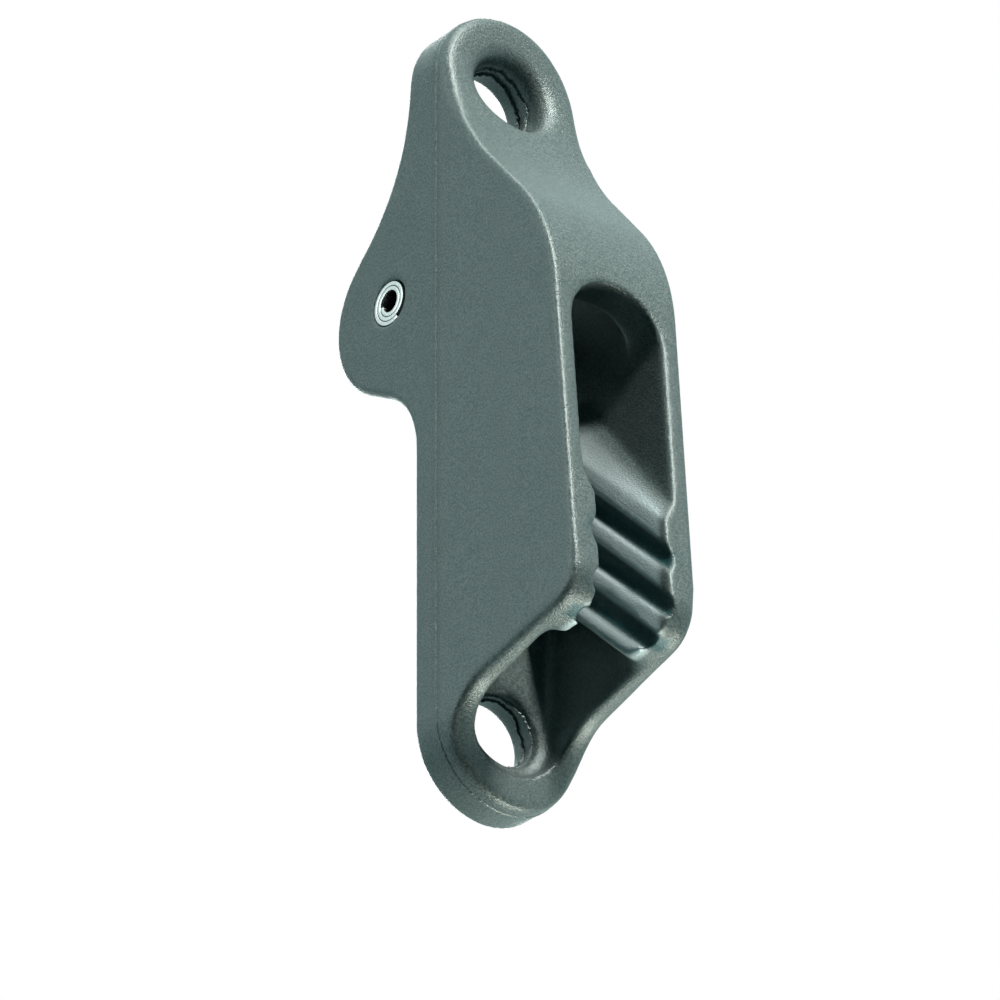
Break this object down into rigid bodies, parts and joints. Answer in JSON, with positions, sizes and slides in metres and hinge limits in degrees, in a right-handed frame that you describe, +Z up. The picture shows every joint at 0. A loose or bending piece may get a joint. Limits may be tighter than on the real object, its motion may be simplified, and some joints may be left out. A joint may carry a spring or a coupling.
{
  "type": "trapeze cleat",
  "caption": "Cast rope cleat with a hanging eye at each end, slanted jaw teeth in a front channel and a grooved roller on a coiled pin",
  "frame": {"origin": "centre of the upper eye, in the mould's parting plane", "axes": "+Z up along the cleat, the channel opens towards -Y, X across"},
  "size_m": [0.0142, 0.0311, 0.0752],
  "materials": {
    "cast_body": "hard-anodised casting, satin grey-green",
    "roller": "moulded, satin",
    "pin": "stainless strip, rolled"
  },
  "bodies": {
    "cleat": {"cleat_body": "cast_body", "coiled_spring_pin": "pin"},
    "roller": {"rope_roller": "roller"}
  },
  "joints": [
    {"name": "roller_spin", "type": "hinge", "parent": "cleat", "child": "roller", "pos_m": [0, 0.00626, -0.0187], "axis": [1, 0, 0], "continuous": true}
  ]
}
